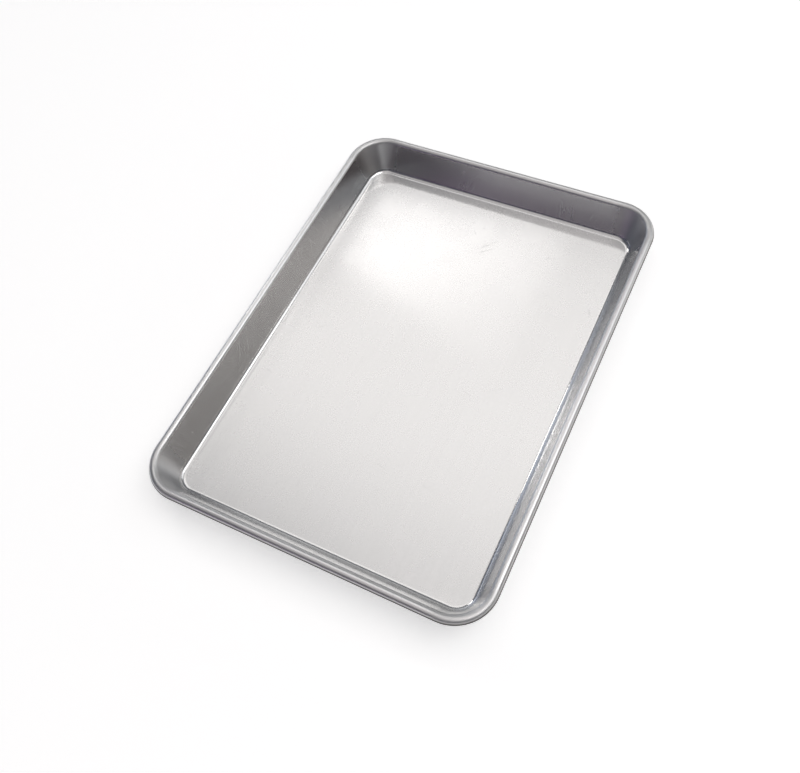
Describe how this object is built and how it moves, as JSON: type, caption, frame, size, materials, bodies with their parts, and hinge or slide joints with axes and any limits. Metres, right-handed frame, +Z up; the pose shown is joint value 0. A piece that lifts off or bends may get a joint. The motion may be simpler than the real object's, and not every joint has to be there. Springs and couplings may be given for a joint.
{
  "type": "jelly roll pan",
  "caption": "Shallow rectangular baking pan of drawn aluminium with a flat floor, flared walls, rounded corners and a rim rolled over a wire.",
  "frame": {"origin": "middle of the underside of the flat floor, which is the middle of the pan in plan", "axes": "+X towards a long side, +Y along the pan towards a short side, +Z up out of the pan"},
  "size_m": [0.2412, 0.3302, 0.0254],
  "materials": {
    "pan_aluminium": "satin, as rolled and drawn, uncoated",
    "wire_steel": "galvanised, dull zinc"
  },
  "bodies": {
    "root": {"pan_body": "pan_aluminium", "rim_wire": "wire_steel"}
  },
  "joints": []
}
